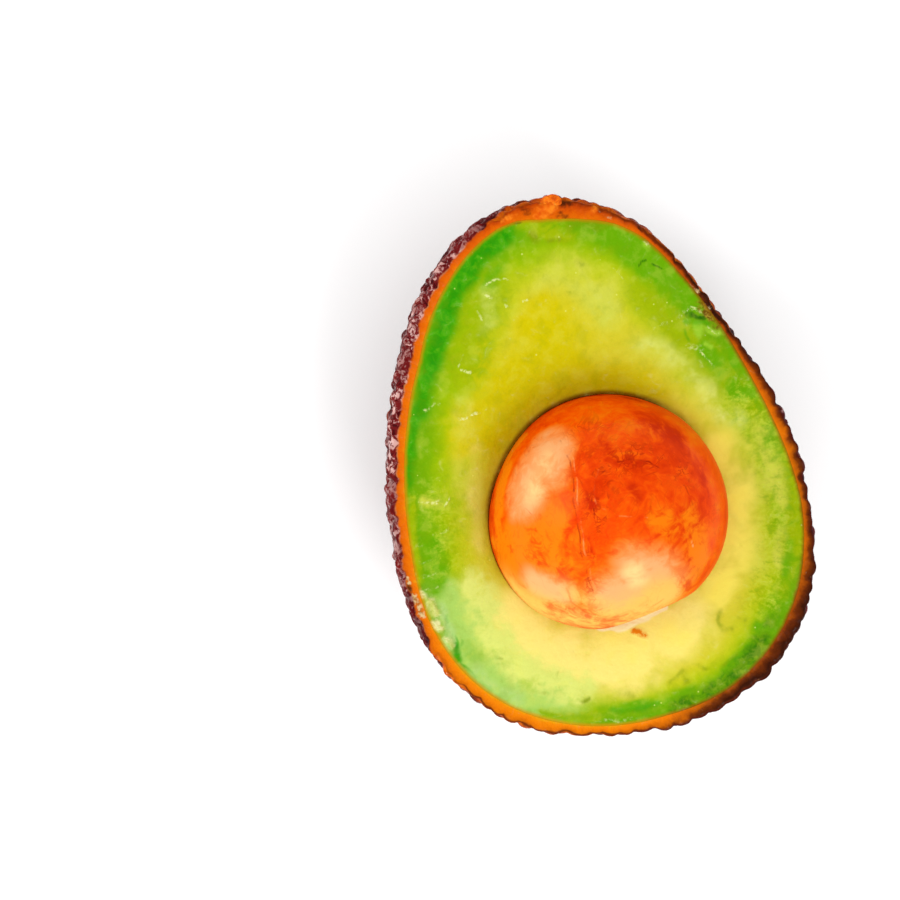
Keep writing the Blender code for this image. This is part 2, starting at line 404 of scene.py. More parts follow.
def build_peel(material):
    directions, quads, rim = half_ball(GRID_STEPS)
    base = body_points(directions)
    height, tone = pebbles_at(base)
    near_cut = smooth_step(-SLIM_HEIGHT, -0.2 * SLIM_HEIGHT, base[:, 2])
    slim = by_direction(base, RIM_SLIM) / 1000 * near_cut
    height *= pebble_fade(base) * (1 - SLIM_PEBBLES * np.maximum(slim, 0))
    outside = base + outward_normals(base, quads) * height[:, None]
    outside -= directions * LEVEL * slim[:, None]
    outside = np.clip(outside, np.array(cad_low - CUT_FACE), np.array(cad_high - CUT_FACE))
    outside[:, 2] = np.minimum(outside[:, 2], 0.0)
    outside[rim, 2] = 0.0
    roll = by_direction(outside, RIM_ROLL)
    outside[:, 2] -= ROLL_DROP * roll * np.clip(1 + outside[:, 2] / ROLL_HEIGHT, 0, 1)

    # The outer edge of the rim is rounded: points near the cut are pulled in by a quarter circle
    edge_round = EDGE_ROUND * (1 - SLIM_EDGE * np.maximum(slim, 0))
    depth = np.minimum(-outside[:, 2], edge_round)
    pull = edge_round - np.sqrt(np.maximum(edge_round ** 2 - (edge_round - depth) ** 2, 0.0))
    outside -= directions * LEVEL * pull[:, None]

    # Rings over the cut rim to the flesh, and down the inside
    across = 1 - pull / (EDGE_INSET + PEBBLE_HEIGHT / 2)
    inner_edge = flesh_edge(directions[rim], EDGE_INSET)
    rings = []
    shares = [k / EDGE_STEPS for k in range(1, EDGE_STEPS)] + [CRISP, 1.0]
    for share in shares:
        ring = outside[rim] + (inner_edge - outside[rim]) * share
        rolled = np.clip(1 - share / np.maximum(roll[rim], 0.01), 0, 1)
        ring[:, 2] = -ROLL_DROP * roll[rim] * rolled ** 2 * (1 + 0.6 * clouds(ring, 700.0, 8.0))
        ring[:, 2] -= RIM_GROOVE * (1 + clouds(ring, 900.0, 5.0)) * math.sin(share * math.pi)
        rings.append(ring)
    rings += [body_points(ring, SKIN_THICKNESS) for ring in bowl_rings(directions[rim], INSIDE_RINGS)]
    points = np.concatenate([outside] + rings + [body_points(DOWN[None], SKIN_THICKNESS)])
    faces = [quads] + join_rings(rim, len(outside), len(rings))
    peel = make_piece("peel", points, faces, material, "skin")

    extra = len(points) - len(outside)
    cut = 1 - smooth_step(0.2 * EDGE_ROUND, 1.5 * EDGE_ROUND, -outside[:, 2])
    rind = np.concatenate([across] + [across[rim] * (1 - share) for share in shares])
    cork_depth = np.maximum(by_direction(points, RIM_CORK), 0.001) / 1000
    store(
        peel,
        height=np.append(height / PEBBLE_HEIGHT, np.full(extra, 0.5)),
        tone=np.append(tone, np.full(extra, 0.5)),
        rind=np.append(rind, np.zeros(len(points) - len(rind))),
        cut=np.append(cut, np.ones(extra)),
        brown=by_direction(points, RIM_BROWN),
        amber=by_direction(points, RIM_AMBER),
        roll=by_direction(points, RIM_ROLL),
        cork=np.clip(1 + points[:, 2] / cork_depth, 0, 1),
        upper=smooth_step(LACE_LOW, LACE_HIGH, points[:, 2]),
        **paint_strokes(points, PEEL_STROKES, on_cut, FACE_WANDER)[0],
    )


def paint(colour):
    """Linear colour for display values from 0 to 255 in the studio's light; others pass as they are."""
    if not isinstance(colour, tuple):
        return colour
    shares = [value / 255 for value in colour]
    linear = [v / 12.92 if v <= 0.04045 else ((v + 0.055) / 1.055) ** 2.4 for v in shares]
    return [v / FACE_LIGHT for v in linear] + [1.0]


class Shade:
    """A value or colour that changes over the surface. Values are added and multiplied as numbers are."""

    def __init__(self, painter, socket):
        self.painter = painter
        self.socket = socket

    def __add__(self, other):
        return self.painter.math("ADD", self, other)

    def __sub__(self, other):
        return self.painter.math("SUBTRACT", self, other)

    def __rsub__(self, other):
        return self.painter.math("SUBTRACT", other, self)

    def __mul__(self, other):
        return self.painter.math("MULTIPLY", self, other)

    def __truediv__(self, other):
        return self.painter.math("DIVIDE", self, other)


class Painter:
    """Adds nodes to one shader tree. A feed is a plain value, which is set, or a Shade, which is linked."""

    def __init__(self, tree):
        self.tree = tree

    def feed(self, node, feeds):
        for name, value in (feeds or {}).items():
            if isinstance(value, Shade):
                self.tree.links.new(value.socket, node.inputs[name])
            else:
                node.inputs[name].default_value = value

    def node(self, kind, feeds=None, **settings):
        made = self.tree.nodes.new(kind)
        for name, value in settings.items():
            setattr(made, name, value)
        self.feed(made, feeds)
        return made

    def shade(self, kind, output, feeds=None, **settings):
        """Output of a new shader node."""
        return Shade(self, self.node("ShaderNode" + kind, feeds, **settings).outputs[output])

    def math(self, operation, *values):
        return self.shade("Math", 0, dict(enumerate(values)), operation=operation)

    def step(self, value, low, high, start=0.0, end=1.0):
        """Smooth change from start to end as the value goes from low to high."""
        feeds = {"Value": value, "From Min": low, "From Max": high, "To Min": start, "To Max": end}
        return self.shade("MapRange", 0, feeds, interpolation_type="SMOOTHSTEP")

    def mix(self, factor, first, second):
        return self.shade("Mix", 2, {0: factor, 6: paint(first), 7: paint(second)}, data_type="RGBA")

    def cover(self, colour, *coats):
        """Colour with coats over it, from the lowest to the top one; a coat is (mask, colour)."""
        for mask, coat in coats:
            colour = self.mix(mask, colour, coat)
        return colour

    def ramp(self, value, stops):
        """Colour along a dictionary of places and colours."""
        made = self.node("ShaderNodeValToRGB", {0: value})
        elements = made.color_ramp.elements
        elements.remove(elements[1])
        for place, colour in stops.items():
            element = elements[0] if place == min(stops) else elements.new(place)
            element.position = place
            element.color = paint(colour)
        return Shade(self, made.outputs[0])

    def noise(self, place, scale, detail=2.0, rough=0.5, distortion=0.0):
        feeds = {"Vector": place, "Scale": scale, "Detail": detail, "Roughness": rough}
        return self.shade("TexNoise", 0, {**feeds, "Distortion": distortion})

    def layer(self, name):
        return self.shade("Attribute", "Fac", attribute_name=name)

    def ragged(self, name, rough, amount, low, high):
        """A painted layer as a mask that a noise breaks up by an amount."""
        return self.step(self.layer(name) * self.step(rough, 0.3, 0.7, 1 - amount, 1 + amount), low, high)

    def group(self, tree, place, **numbers):
        return self.shade("Group", 0, {"Place": place, **numbers}, node_tree=tree)


def make_group(name, output, formula, **numbers):
    """Node group of a place and some numbers, which puts out what the formula makes of them."""
    tree = bpy.data.node_groups.new(name, "ShaderNodeTree")
    tree.interface.new_socket("Place", in_out="INPUT", socket_type="NodeSocketVector")
    for label, value in numbers.items():
        socket = tree.interface.new_socket(label, in_out="INPUT", socket_type="NodeSocketFloat")
        socket.default_value = value
    tree.interface.new_socket(output, in_out="OUTPUT", socket_type="NodeSocketFloat")
    p = Painter(tree)
    given = p.node("NodeGroupInput").outputs
    result = formula(p, *[Shade(p, given[label]) for label in ("Place", *numbers)])
    p.feed(p.node("NodeGroupOutput"), {output: result})
    return tree


def blotchy(p, place, scale, low, high):
    """Patches with soft edges: 0 where the noise is under low and 1 where it is over high."""
    return p.step(p.noise(place, scale, 2.0, 0.55, 0.3), low, high)


def grainy(p, place, waves, grains, share):
    """Fine uneven surface of moist plant tissue: soft waves with small grains on them."""
    return p.noise(place, waves) + p.noise(place, grains, 3.0, 0.6) * share


blotches = make_group("blotches", "Mask", blotchy, Scale=100.0, Low=0.45, High=0.6)
moist_grain = make_group("moist_grain", "Height", grainy, Waves=300.0, Grains=1500.0, Share=0.4)


def start_material(name, specular, coat_roughness=0.03):
    """New material with its shader, a painter for its nodes, and its place on the fruit."""
    material = bpy.data.materials.new(name)
    material.use_nodes = True
    p = Painter(material.node_tree)
    shader = material.node_tree.nodes["Principled BSDF"]
    p.feed(shader, {"Specular IOR Level": specular, "Coat Roughness": coat_roughness})
    return material, p, shader, p.shade("TexCoord", "Object")


def feed_shader(p, shader, place, colour, roughness, coat, depth, strength, **grain):
    """Gives the shader its colour, its roughness, its wet coat and the fine relief of a grain."""
    height = p.group(moist_grain, place, **grain)
    normal = p.shade("Bump", 0, {"Height": height, "Distance": depth, "Strength": strength})
    p.feed(shader, {"Base Color": colour, "Roughness": roughness, "Coat Weight": coat, "Normal": normal})


def make_peel_material():
    material, p, shader, place = start_material("waxy_peel", 0.02, 0.13)
    height, tone, upper = p.layer("height"), p.layer("tone"), p.layer("upper")
    rind, cut, brown, amber = p.layer("rind"), p.layer("cut"), p.layer("brown"), p.layer("amber")
    roll, cork = p.layer("roll"), p.layer("cork")
    patches = p.group(blotches, place, Scale=70.0, Low=0.38, High=0.66)
    middle = p.noise(place, 500.0)
    fine = p.noise(place, 1400.0, 3.0, 0.6)

    # Outside: near black between the pebbles as painted shade, dark maroon on them, a few of them browner,
    # and pale pink painted glints
    glint = p.noise(place, 800.0, 3.0, 0.62, 1.2) + patches * 0.05
    glint = p.step(glint, 0.57, 0.64) * p.step(height, 0.35, 0.75)
    outside = p.cover(
        (16, 1, 3),
        (p.step(height, 0.18, 0.6), p.mix(patches, (66, 3, 7), (92, 7, 9))),
        (p.step(height, 0.6, 1.15), p.mix(patches, (100, 8, 11), (126, 17, 15))),
        (p.step(tone, 0.95, 0.98) * 0.7, p.mix(height, (60, 12, 4), (136, 52, 18))),
        (p.step(tone, 0.0, 0.5, 0.45, 0.0), (36, 2, 5)),
        (p.step(fine, 0.5, 0.75, 0.0, 0.3), (138, 34, 26)),
        # Painted glints on some pebble tops, which the coat also makes glossy
        (glint * 0.45, (206, 128, 122)),
    )

    # Cut rim: orange at the flesh, brown towards the outside
    wander = (p.noise(place, 420.0, 3.0, 0.6, 0.8) - 0.5) * 0.7
    depth = (rind + brown * 0.55 + wander + (fine - 0.5) * 0.25) / 1.6
    red_side = p.ramp(depth, {
        0.00: (222, 132, 8), 0.08: (228, 104, 3), 0.30: (216, 84, 2),
        0.50: (190, 62, 3), 0.66: (128, 38, 4), 0.90: (44, 12, 4),
    })
    amber_side = p.ramp(depth, {
        0.00: (236, 160, 10), 0.08: (242, 140, 4), 0.30: (240, 128, 3),
        0.50: (206, 106, 3), 0.66: (132, 60, 4), 0.90: (50, 18, 4),
    })
    rough = fine * 0.6 + middle * 0.8 - 0.7
    edge = p.step(rind + (middle - 0.5) * 0.25, 0.70, 0.86, 0.0, 0.9) * p.step(amber, 0.6, 0.9)
    scar = p.mix(p.step(fine, 0.4, 0.6), (164, 112, 50), (226, 196, 140))
    ember = p.mix(p.step(middle, 0.35, 0.65), (226, 84, 2), (255, 140, 30))
    section = p.cover(
        p.mix(amber, red_side, amber_side),
        (p.step(brown, 0.5, 1.4, 0.0, 0.5), (66, 24, 6)),
        (p.step(p.layer("burnt") + rough, 0.2, 0.8), (52, 20, 6)),
        (p.step(p.layer("scar") + rough * 1.6, 0.25, 0.8), scar),
        (edge, (84, 22, 6)),
        (p.step(p.layer("ember") + rough * 1.4, 0.3, 0.9), ember),
    )

    # Where the rim is rolled over, the outside shows, lighter, with a lace of painted highlights and darker
    # gaps on it. Corky bark lies below the rim by the stem and at the far end.
    rolled = rind + wander * 0.6 + roll - 1.0
    inside = cut * p.step(rolled, -0.10, 0.10, 1.0, 0.0)
    near_rim = p.step(roll, 0.15, 0.5) * upper
    lace = p.noise(place, 640.0, 4.0, 0.62, 1.1)
    lacy = near_rim * p.step(p.noise(place, 260.0, 1.0), 0.48, 0.56, 1.0, 0.4)
    border = p.step(p.math("ABSOLUTE", rolled), 0.0, 0.09, 0.25, 0.0) * cut * near_rim
    bark = p.noise(place, 620.0, 4.0, 0.65, 1.5) * 0.5 + (cork + wander) * 0.5
    bark = p.ramp(bark, {0.30: (52, 12, 3), 0.46: (128, 40, 3), 0.60: (188, 76, 3), 0.76: (222, 108, 6)})
    colour = p.cover(
        outside,
        (near_rim * 0.75, p.mix(middle, (88, 8, 12), (148, 40, 38))),
        (p.step(lace, 0.38, 0.46, 0.8, 0.0) * lacy, (52, 4, 8)),
        # Painted highlights of the lace
        (p.step(lace, 0.50, 0.60, 0.0, 0.85) * lacy, (232, 178, 168)),
        (p.step(cork, 0.0, 0.25), bark),
        (inside, section),
        (border * p.step(middle, 0.4, 0.6), (250, 190, 130)),
    )
    wet = p.math("MAXIMUM", glint, p.step(lace, 0.50, 0.58) * lacy) * (1.0 - inside * 0.8)
    shine = p.step(middle, 0.3, 0.7, 0.36, 0.5)
    feed_shader(p, shader, place, colour, shine, wet, 0.0003, 0.9, Waves=700.0, Grains=2400.0)
    return material


build_peel(make_peel_material())

# Flesh
# The soft, fatty body of the fruit, one piece that fills the peel: green next to the peel and
# yellow towards the seed. The knife left its face flat and moist, with a shallow dish that goes
# down to the seed's hollow. It grew on to the peel and isn't fixed in any other way.

FLESH_INSET = 0.00190
HOLLOW_CLEARANCE = 0.00005
SEED_OVAL = 0.012
SEED_WAVE = 0.00012
SEED_FLAT = 0.0016
SEED_FLAT_WAY = Vector((0.105, -0.995, 0.19)).normalized()
SEED_FLAT_BLEND = 0.00025
# Low bulges of the seed: height, direction in degrees, and how narrow they are
SEED_BULGES = [(0.0014, 206, 3), (0.0005, 321, 5), (0.0004, 95, 8)]
DISH_WIDTH = 0.0105
DISH_DEPTH = 0.0014
DISH_DEPTH_CHANGE = 0.0009
DISH_DEEP_SIDE = math.radians(120)
FLESH_SEGMENTS = 640
FACE_RINGS = 122
# How much closer together the rings are at the lip and at the peel than between them
FACE_CROWDING = 0.3
CRISP_FACE = 0.999
EDGE_POINTS = 2400
EDGE_FADE = 0.0004
EDGE_DROP = 0.00002
LIP_ROUND = 0.0003
WALL_RINGS = 10
HOLLOW_RINGS = 12
FACE_WAVE = 0.00006
FACE_WAVE_SCALE = 160.0
FACE_GRAIN = 0.000025
FACE_GRAIN_SCALE = 700.0
TORN_SCALE = 1400.0

# Breadth in mm of the green zone by the direction from the seed in degrees, 90 towards the stem
GREEN_ZONE = [
    (0, 7.4), (25, 7.6), (45, 8.6), (65, 8.5), (85, 8), (105, 9.5), (135, 10), (165, 9.5), (190, 8.5),
    (215, 8), (240, 6), (262, 4.6), (285, 5), (305, 6), (330, 6.8), (360, 7.4),
]

# Stains, veins and knife marks of the cut face
FACE_STROKES = {
    # Yellow and pale zones of the ripe flesh, the green that surrounds them, and a painted pool of light
    "haze": [
        (30, 0.9, 0, (482, 628), (494, 654), (520, 684), (545, 696)),
        (16, 0.7, 0, (780, 470), (783, 515), (780, 560)),
        (40, 0.8, 0, (548, 282), (575, 280), (604, 304)),
        (30, 0.4, 0, (645, 345), (680, 365), (705, 392)),
        (30, 0.35, 0, (735, 430), (752, 470), (758, 520), (752, 570)),
        (20, 0.7, 0, (760, 425), (768, 445), (770, 480)),
        (24, 0.5, 0, (468, 420), (465, 470), (470, 520)), (12, 0.6, 0, (424, 504), (445, 503)),
    ],
    "gold": [
        (58, 1, 0, (550, 322), (558, 350), (520, 385), (480, 430)),
        (40, 0.7, 0, (560, 360), (600, 385), (640, 385)), (30, 0.5, 0, (500, 330), (478, 372)),
        (6, 1, 0, (648, 637), (660, 636)),
    ],
    "butter": [
        (52, 1, 0, (516, 622), (545, 648), (600, 662), (650, 648), (688, 618)),
        (30, 0.5, 0, (545, 684), (600, 686), (650, 676)),
        (32, 0.5, 0, (712, 595), (732, 550), (735, 480)),
        (14, 0.35, 0, (478, 450), (474, 500), (482, 550)),
    ],
    # Painted light: a pool of light on the face beside the seed, where the seed's shadow falls
    "painted_light": [
        (50, 0.4, 0, (618, 640), (650, 642), (684, 630)), (34, 0.35, 0, (686, 408), (714, 436)),
        (38, 0.7, 0, (718, 448), (732, 466), (738, 515), (734, 560), (716, 596)),
    ],
    "mint": [
        (32, 1, 0, (446, 596), (458, 630), (480, 664), (514, 690)),
        (42, 0.9, 0, (460, 616), (476, 648), (500, 674), (530, 694), (560, 702)),
        (20, 0.4, 0, (524, 688), (560, 692), (590, 694)),
    ],
    "olive": [
        (30, 0.8, 0, (492, 456), (507, 423), (540, 396), (585, 380), (620, 380)),
        (16, 0.6, 0, (620, 388), (665, 398), (692, 420)),
    ],
    "lime": [
        (46, 0.75, 0, (490, 292), (478, 330), (466, 365)),
        (9, 0.8, 0, (411, 500), (413, 545), (419, 580)), (26, 0.9, 0, (792, 430), (798, 490), (796, 545)),
        (20, 0.8, 0, (525, 224), (545, 230), (565, 236)), (20, 0.5, 0, (640, 300), (655, 318)),
        (34, 0.7, 0, (640, 290), (680, 335), (720, 372), (752, 410)),
        (18, 0.7, 0, (786, 540), (790, 565), (782, 590)),
        (12, 0.7, 0, (540, 714), (566, 718), (600, 716)),
    ],
    "leaf": [
        (18, 0.6, 0, (522, 236), (502, 264), (486, 288)), (16, 0.35, 0, (507, 232), (520, 228)),
        (22, 1, 0, (694, 700), (722, 682), (741, 664), (760, 636), (774, 608)),
        (11, 0.8, 0, (606, 708), (630, 706), (652, 704)),
        (11, 0.9, 0, (720, 340), (738, 368), (752, 396)),
        (30, 0.9, 0, (605, 232), (640, 255), (668, 283), (688, 303)),
        (24, 1, 0, (656, 266), (668, 290), (682, 300)), (22, 0.8, 0, (708, 350), (722, 368), (742, 392)),
        (14, 1, 0, (716, 333), (736, 360), (756, 385), (768, 402)),
        (18, 0.9, 0, (432, 545), (440, 562), (436, 590)), (14, 0.5, 0, (565, 226), (590, 230)),
        (13, 0.5, 0, (790, 545), (786, 585), (772, 615)),
        (16, 0.7, 0, (700, 690), (690, 694), (660, 703)),
    ],
    # Deep green ribbon next to the peel, and darker green where the face turns to the peel
    "deep": [
        (20, 1, 0, (504, 236), (486, 251), (470, 269), (456, 292), (446, 317), (438, 342), (431, 365)),
        (15, 0.8, 0, (432, 360), (426, 388), (420, 412)), (5, 0.6, 0, (443, 610), (448, 626), (453, 640)),
        (11, 0.75, 0, (426, 378), (417, 412), (411, 445), (407, 482)),
        (8, 0.55, -0.05, (612, 710), (625, 712), (645, 708), (657, 704)),
        (6, 0.3, 0, (528, 710), (560, 717), (605, 716)),
        (4, 0.7, -0.12, (444, 615), (449, 628), (452, 638)),
        (6, 0.9, -0.15, (453, 640), (457, 652), (460, 660)), (4, 0.5, -0.05, (462, 642), (456, 654)),
        (3, 0.5, -0.05, (462, 664), (468, 668), (474, 676)),
        (7, 0.5, -0.05, (684, 323), (692, 320), (706, 324)), (4, 0.5, -0.05, (684, 331), (688, 340)),
    ],
    "moss": [
        (22, 1, 0, (680, 708), (704, 698), (724, 686), (743, 668), (756, 652), (764, 640)),
        (14, 0.5, 0, (764, 636), (778, 612)),
    ],
    # Milky places and torn cells, and the shadowed edge of the hollow
    "pearl": [
        (18, 0.35, 0, (488, 292), (488, 324)), (22, 0.5, 0, (708, 398), (720, 412), (734, 420)),
        (32, 0.9, 0, (478, 586), (484, 604), (496, 640), (532, 676), (580, 690)),
        (20, 0.3, 0, (464, 404), (468, 440)), (24, 0.4, 0, (652, 345), (690, 372), (712, 400)),
    ],
    "mist": [
        (12, 0.8, 0, (440, 608), (450, 632), (447, 645)),
        (16, 0.5, 0, (476, 672), (500, 692), (520, 700)),
    ],
    "frost": [
        (30, 1, 0, (740, 400), (762, 440), (774, 500), (772, 560), (762, 600)),
        (30, 0.6, 0, (425, 500), (440, 505), (445, 560)), (26, 0.25, 0, (486, 290), (490, 320)),
    ],
    "shade": [
        (40, 1, 0, (490, 500), (498, 465), (521, 428), (558, 403), (605, 392), (652, 400)),
        (30, 0.4, 0, (652, 400), (680, 416)),
    ],
    # Torn lobes, cracks with dark painted shade in them, small spots, pale crests with painted highlights,
    # crumbs, wet smear and rusty marks
    "lobe": [
        (8, 1, 0.25, (697, 325), (700, 334)), (6, 0.9, 0.2, (708, 330), (718, 331)),
        (5, 0.8, 0.15, (707, 345), (713, 348)), (6, 0.7, 0.15, (645, 245), (650, 249)),
        (5, 0.6, 0.1, (484, 252), (489, 247)),
    ],
    # Cracks: shallow dents with dark green painted shade in them
    "crack": [
        (5, 1, -0.3, (686, 317), (694, 315), (703, 318)),
        (2, 0.8, -0.08, (641, 274), (640, 266), (642, 261), (648, 260)),
        (2, 0.9, -0.08, (654, 264), (662, 268)), (4, 1, -0.12, (507, 227), (513, 224), (520, 222)),
        (3, 0.6, -0.05, (745, 654), (755, 662)),
    ],
    "spot": [
        (9, 0.77, -0.012, (535, 235), (538, 239)), (6, 0.51, -0.008, (549, 241), (560, 239)),
        (10, 0.42, -0.008, (570, 226), (590, 222), (606, 228)), (7, 0.42, -0.012, (579, 262), (583, 265)),
        (3.5, 0.42, -0.02, (567, 293), (571, 292)), (4, 0.59, -0.032, (497, 656), (502, 658)),
        (4, 0.51, -0.02, (538, 692), (543, 694)), (4, 0.68, -0.02, (581, 701), (590, 700)),
        (3, 0.51, -0.016, (558, 672), (556, 680), (559, 687)),
        (6, 0.51, -0.016, (721, 610), (720, 622), (722, 630), (730, 629)),
        (6, 0.42, -0.012, (737, 618), (745, 620)),
        (7, 0.51, -0.012, (670, 684), (678, 677), (685, 670), (688, 682)),
        (5, 0.51, -0.016, (720, 668), (735, 655)), (5, 0.51, -0.016, (697, 664), (708, 668)),
        (8, 0.42, -0.008, (620, 692), (632, 696)), (3, 0.51, -0.016, (741, 545), (743, 546)),
    ],
    # Pale crests: raised flesh, pale as painted highlights on it
    "cream": [
        (2.4, 0.8, 0.12, (486, 284), (496, 280), (508, 280)), (2.4, 0.9, 0.14, (485, 296), (492, 299)),
        (2.2, 0.9, 0.12, (505, 302), (509, 307)), (2.4, 0.8, 0.12, (523, 302), (530, 300)),
        (2.4, 0.6, 0.12, (477, 311), (480, 320)), (2, 0.7, 0.1, (514, 320), (519, 317)),
        (2.4, 0.8, 0.12, (461, 369), (471, 371)), (2, 0.6, 0.1, (464, 355), (459, 366)),
        (3, 0.9, 0.25, (683, 315), (690, 310), (697, 308), (705, 311)),
        (2.2, 0.6, 0.14, (655, 328), (668, 322), (683, 316)),
        (2.4, 0.7, 0.14, (690, 336), (697, 339), (705, 336)), (2.2, 0.7, 0.12, (707, 328), (718, 331)),
        (2.2, 0.6, 0.1, (700, 352), (706, 358), (712, 364)), (6, 0.4, 0.05, (688, 346), (702, 349)),
        (1.8, 0.5, 0.08, (612, 268), (621, 279)), (3, 0.8, 0.1, (645, 243), (651, 248)),
        (2.2, 0.7, 0.14, (418, 504), (430, 505), (438, 500)), (2.2, 0.7, 0.14, (443, 506), (449, 498)),
        (2.2, 0.5, 0.1, (423, 412), (434, 404), (440, 406)), (2.6, 0.9, 0.14, (460, 418), (468, 416)),
        (2.6, 0.9, 0.14, (473, 414), (481, 413), (487, 409)), (2.6, 0.4, 0.12, (414, 548), (426, 545)),
        (2.6, 0.4, 0.12, (432, 536), (440, 534), (448, 529)), (2.6, 0.4, 0.12, (417, 563), (431, 560)),
        (2.6, 0.4, 0.12, (419, 578), (437, 573)), (2.6, 0.4, 0.12, (422, 590), (436, 587)),
        (3, 0.35, 0, (590, 722), (620, 721), (640, 719)),
    ],
    "crumb": [
        (6, 0.8, 0.2, (422, 594), (425, 599)), (9, 1, 0.3, (429, 603), (434, 612)),
        (7, 0.9, 0.25, (433, 624), (440, 629)), (6, 0.6, 0.2, (444, 640), (451, 647)),
        (4, 0.5, 0.1, (414, 574), (418, 584)),
    ],
    "glaze": [
        (6, 1, 0.04, (598, 629), (622, 628), (643, 620), (664, 607)),
        (12, 1, 0.05, (620, 625), (646, 616)),
    ],
    "stain": [
        (8, 1, 0, (701, 303), (708, 314), (715, 324)),
    ],
    "rust": [
        (5.5, 1, 0.12, (634, 632), (641, 636), (646, 637)), (3.5, 0.35, 0.05, (641, 633), (652, 636)),
    ],
}


def dish_depths(points):
    """Depth of the cut face below its flat rim."""
    reach = points - np.array(SEED_CENTRE)
    distance = np.hypot(reach[:, 0], reach[:, 1])
    away = np.clip((distance - SEED_RADIUS) / DISH_WIDTH, 0.0, 1.0)
    side = np.cos(np.arctan2(reach[:, 1], reach[:, 0]) - DISH_DEEP_SIDE)
    return (DISH_DEPTH + DISH_DEPTH_CHANGE * side) * (1 - away) ** 2


def seed_radii(unit):
    """Distance of the seed's surface from its middle in unit directions; it is flattened on one side."""
    radii = SEED_RADIUS * (1 - SEED_OVAL * unit[:, 1] ** 2) - SEED_WAVE * (1 + clouds(unit, 2.2, 3.0))
    for height, direction, narrow in SEED_BULGES:
        turn = math.radians(direction)
        radii += height * np.maximum(unit @ np.array((math.cos(turn), math.sin(turn), 0)), 0) ** narrow
    flat = (SEED_RADIUS - SEED_FLAT) / np.maximum(unit @ np.array(SEED_FLAT_WAY), 0.3)
    return radii - SEED_FLAT_BLEND * np.log(1 + np.exp((radii - flat) / SEED_FLAT_BLEND))


def face_relief(points, bumps):
    """Height of the cut face over its dish: soft waves, a fine grain and the marks' own height."""
    level = FACE_WAVE * clouds(points, FACE_WAVE_SCALE, 2.0)
    level += FACE_GRAIN * clouds(points, FACE_GRAIN_SCALE, 9.0)
    return level + bumps * (1 + 0.9 * clouds(points, TORN_SCALE, 4.0))


def level_ring(count):
    turn = np.linspace(0, 2 * math.pi, count, endpoint=False)
    return np.column_stack((np.cos(turn), np.sin(turn), 0 * turn))


def build_flesh(material):
    level = level_ring(FLESH_SEGMENTS)
    centre = np.array(SEED_CENTRE)
    spoke = flesh_edge(level, FLESH_INSET) - centre
    length = np.linalg.norm(spoke, axis=1)[:, None]
    spoke /= length
    start = np.arcsin(dish_depths(centre + spoke * SEED_RADIUS) / SEED_RADIUS)

    # Rings from the bottom of the hollow up to its lip, out over the face and down at the peel
    rings = []
    for k in range(HOLLOW_RINGS, 0, -1):
        angle = (start + (math.pi / 2 - start) * (k - 1) / HOLLOW_RINGS)[:, None]
        unit = spoke * np.cos(angle) + DOWN * np.sin(angle)
        rings.append(centre + unit * (seed_radii(unit) + HOLLOW_CLEARANCE)[:, None])
    lip_radius = np.linalg.norm((rings[-1] - centre) * LEVEL, axis=1)[:, None]
    for k in range(1, FACE_RINGS + 1):
        share = k / FACE_RINGS
        share -= FACE_CROWDING * math.sin(2 * math.pi * share) / (2 * math.pi)
        share = CRISP_FACE if k == FACE_RINGS - 1 else share
        rings.append(centre + spoke * (lip_radius + (length - lip_radius) * share))
    face = slice(HOLLOW_RINGS * FLESH_SEGMENTS, len(rings) * FLESH_SEGMENTS)
    rings += [body_points(ring, FLESH_INSET) for ring in bowl_rings(level, WALL_RINGS)]
    bowl_bottom = centre + DOWN * (seed_radii(DOWN[None]) + HOLLOW_CLEARANCE)
    points = np.vstack(rings + [body_points(DOWN[None], FLESH_INSET), bowl_bottom])

    on_face = points[face]
    layers, bumps = paint_strokes(on_face, FACE_STROKES, on_cut, FACE_WANDER)
    from_seed = np.linalg.norm(on_face - centre, axis=1) - np.tile(lip_radius[:, 0], FACE_RINGS)
    tree = make_tree(flesh_edge(level_ring(EDGE_POINTS), FLESH_INSET))
    from_peel = np.array([tree.find(point)[2] for point in on_face])
    edge_fade = smooth_step(0.0, EDGE_FADE, from_peel)
    rise = face_relief(on_face, bumps) * edge_fade - dish_depths(on_face) - EDGE_DROP * (1 - edge_fade)
    points[face, 2] = rise - 0.4 * LIP_ROUND * np.clip(1 - from_seed / LIP_ROUND, 0, 1) ** 2

    first_loop = np.arange(FLESH_SEGMENTS)
    faces = join_rings(first_loop, FLESH_SEGMENTS, len(rings) - 1)
    faces.append(loop_fan(first_loop, len(points) - 1))
    flesh = make_piece("flesh_half", points, faces, material, "flesh")
    layers["brown"] = by_direction(on_face, RIM_BROWN)
    layers["from_peel"] = from_peel * 1000
    layers["from_seed"] = from_seed * 1000
    layers["ripe"] = layers["from_peel"] / by_direction(on_face, GREEN_ZONE)
    for name, values in layers.items():
        whole = np.zeros(len(points))
        whole[face] = values
        whole[:face.start] = np.tile(values[:FLESH_SEGMENTS], HOLLOW_RINGS)
        store(flesh, **{name: whole})


def fleck(p, place, scale, share):
    """Tiny round grains in a share of the cells."""
    cells = p.node("ShaderNodeTexVoronoi")
    p.feed(cells, {"Vector": place, "Scale": scale})
    chosen = p.node("ShaderNodeSeparateColor", {0: Shade(p, cells.outputs["Color"])}).outputs
    size = p.step(Shade(p, chosen[1]), 0.0, 1.0, 0.06, 0.2)
    dot = p.step(Shade(p, cells.outputs["Distance"]) / size, 0.5, 1.0, 1.0, 0.0)
    return dot * p.math("LESS_THAN", Shade(p, chosen[0]), share)


